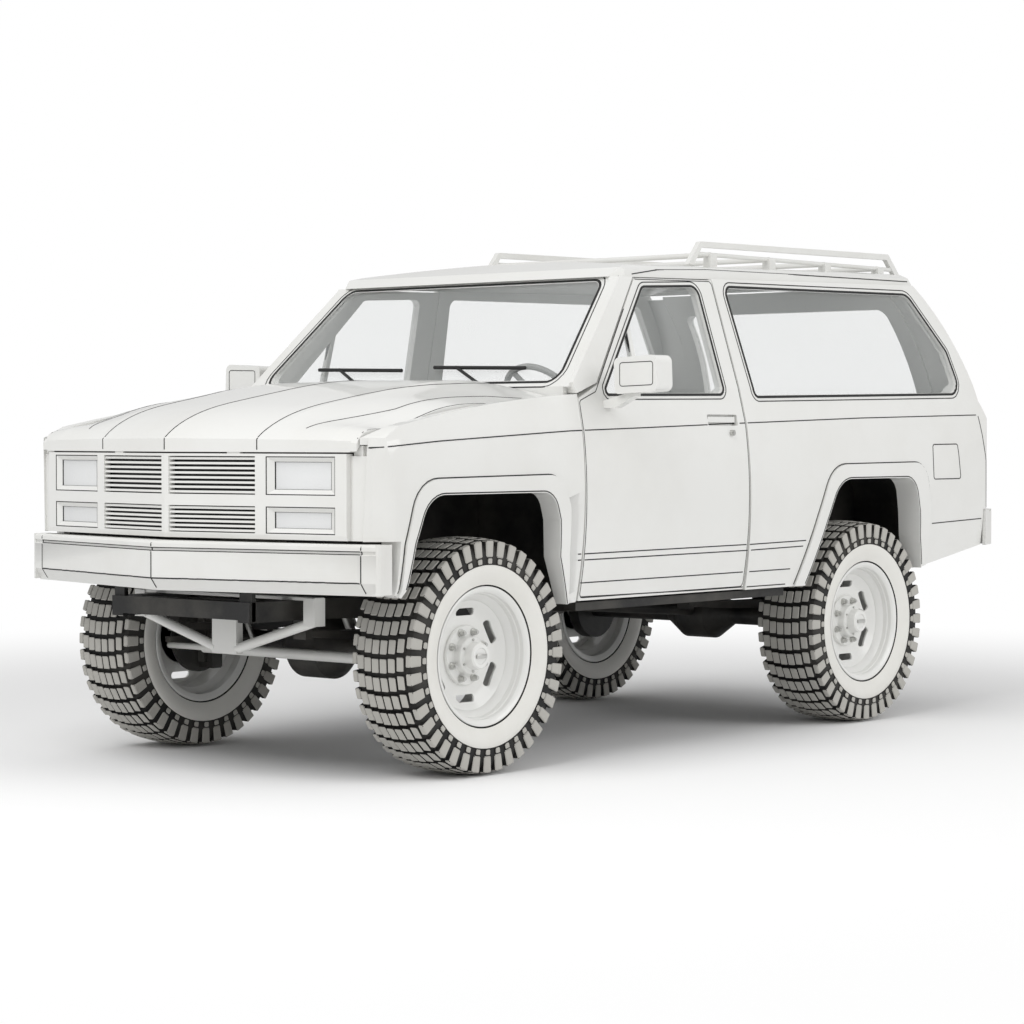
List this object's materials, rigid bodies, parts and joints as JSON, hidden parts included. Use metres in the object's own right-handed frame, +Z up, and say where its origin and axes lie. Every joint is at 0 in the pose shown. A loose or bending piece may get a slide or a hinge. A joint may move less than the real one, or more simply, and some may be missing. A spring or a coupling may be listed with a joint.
{
  "type": "off-road wagon",
  "caption": "Lifted two-door off-road wagon with lugged tyres on dished steel wheels, a louvred grille, steel bumpers and a roof rack.",
  "frame": {"origin": "on the ground, midway between the ends and the sides of the vehicle", "axes": "+X forward, +Y to the vehicle's left, +Z up"},
  "size_m": [4.76, 2.5216, 2.2319],
  "materials": {
    "body_paint": "gloss",
    "bumper_paint": "satin",
    "wheel_paint": "satin",
    "tyre_rubber": "matte",
    "window_glass": "clear",
    "lamp_glass": "clear",
    "tail_lamp_plastic": "gloss",
    "chassis_paint": "satin",
    "cast_metal": "matte",
    "exhaust_steel": "satin",
    "cabin_plastic": "matte",
    "trim_plastic": "matte",
    "seat_fabric": "matte"
  },
  "bodies": {
    "chassis": {"frame": "chassis_paint", "floor_pan": "chassis_paint", "fender_left": "body_paint", "fender_right": "body_paint", "quarter_left": "body_paint", "quarter_right": "body_paint", "roof": "body_paint", "cowl": "body_paint", "grille_panel": "body_paint", "front_lamps": "lamp_glass", "tail_lamps": "tail_lamp_plastic", "front_bumper": "bumper_paint", "rear_bumper": "bumper_paint", "windshield": "window_glass", "quarter_glass": "window_glass", "roof_rack": "bumper_paint", "front_wheel_wells": "chassis_paint", "rear_wheel_wells": "chassis_paint", "dashboard": "cabin_plastic", "steering_wheel": "cabin_plastic", "front_seats": "seat_fabric", "rear_bench": "seat_fabric", "engine": "cast_metal", "gearbox": "cast_metal", "front_axle": "chassis_paint", "rear_axle": "chassis_paint", "leaf_springs": "chassis_paint", "shock_absorbers": "exhaust_steel", "front_stays": "bumper_paint", "driveshafts": "chassis_paint", "exhaust": "exhaust_steel", "fuel_tank": "chassis_paint", "wipers": "trim_plastic"},
    "hood": {"hood": "body_paint"},
    "door_left": {"door_left": "body_paint", "door_glass_left": "window_glass", "mirror_left": "body_paint"},
    "door_right": {"door_right": "body_paint", "door_glass_right": "window_glass", "mirror_right": "body_paint"},
    "tailgate": {"tailgate": "body_paint", "tailgate_glass": "window_glass"},
    "knuckle_left": {"knuckle_left": "cast_metal"},
    "knuckle_right": {"knuckle_right": "cast_metal"},
    "tie_rod": {"tie_rod": "bumper_paint"},
    "wheel_front_left": {"rim_front_left": "wheel_paint", "tyre_front_left": "tyre_rubber"},
    "wheel_front_right": {"rim_front_right": "wheel_paint", "tyre_front_right": "tyre_rubber"},
    "wheel_rear_left": {"rim_rear_left": "wheel_paint", "tyre_rear_left": "tyre_rubber"},
    "wheel_rear_right": {"rim_rear_right": "wheel_paint", "tyre_rear_right": "tyre_rubber"}
  },
  "joints": [
    {"name": "roll_front_left", "type": "hinge", "parent": "knuckle_left", "child": "wheel_front_left", "pos_m": [1.47, 0.805, 0.47], "axis": [0, 1, 0], "continuous": true},
    {"name": "roll_front_right", "type": "hinge", "parent": "knuckle_right", "child": "wheel_front_right", "pos_m": [1.47, -0.805, 0.47], "axis": [0, 1, 0], "continuous": true},
    {"name": "roll_rear_left", "type": "hinge", "parent": "chassis", "child": "wheel_rear_left", "pos_m": [-1.23, 0.805, 0.47], "axis": [0, 1, 0], "continuous": true},
    {"name": "roll_rear_right", "type": "hinge", "parent": "chassis", "child": "wheel_rear_right", "pos_m": [-1.23, -0.805, 0.47], "axis": [0, 1, 0], "continuous": true},
    {"name": "steer_left", "type": "hinge", "parent": "chassis", "child": "knuckle_left", "pos_m": [1.47, 0.66, 0.47], "axis": [0, 0, 1], "range_deg": [-28, 28]},
    {"name": "steer_right", "type": "hinge", "parent": "chassis", "child": "knuckle_right", "pos_m": [1.47, -0.66, 0.47], "axis": [0, 0, 1], "range_deg": [-28, 28]},
    {"name": "tie_rod_left_end", "type": "hinge", "parent": "knuckle_left", "child": "tie_rod", "pos_m": [1.67, 0.66, 0.448], "axis": [0, 0, 1], "range_deg": [-28, 28]},
    {"name": "hood_hinge", "type": "hinge", "parent": "chassis", "child": "hood", "pos_m": [0.95, 0, 1.545], "axis": [0, -1, 0], "range_deg": [0, 50]},
    {"name": "door_left_hinge", "type": "hinge", "parent": "chassis", "child": "door_left", "pos_m": [0.918, 1, 1.1], "axis": [0, 0, -1], "range_deg": [0, 65]},
    {"name": "door_right_hinge", "type": "hinge", "parent": "chassis", "child": "door_right", "pos_m": [0.918, -1, 1.1], "axis": [0, 0, 1], "range_deg": [0, 65]},
    {"name": "tailgate_hinge", "type": "hinge", "parent": "chassis", "child": "tailgate", "pos_m": [-1.842, 0, 2.058], "axis": [0, 1, 0], "range_deg": [0, 55]}
  ],
  "couplings": [
    {"joint": "steer_right", "follows": "steer_left", "ratio": 1},
    {"joint": "tie_rod_left_end", "follows": "steer_left", "ratio": -1}
  ]
}
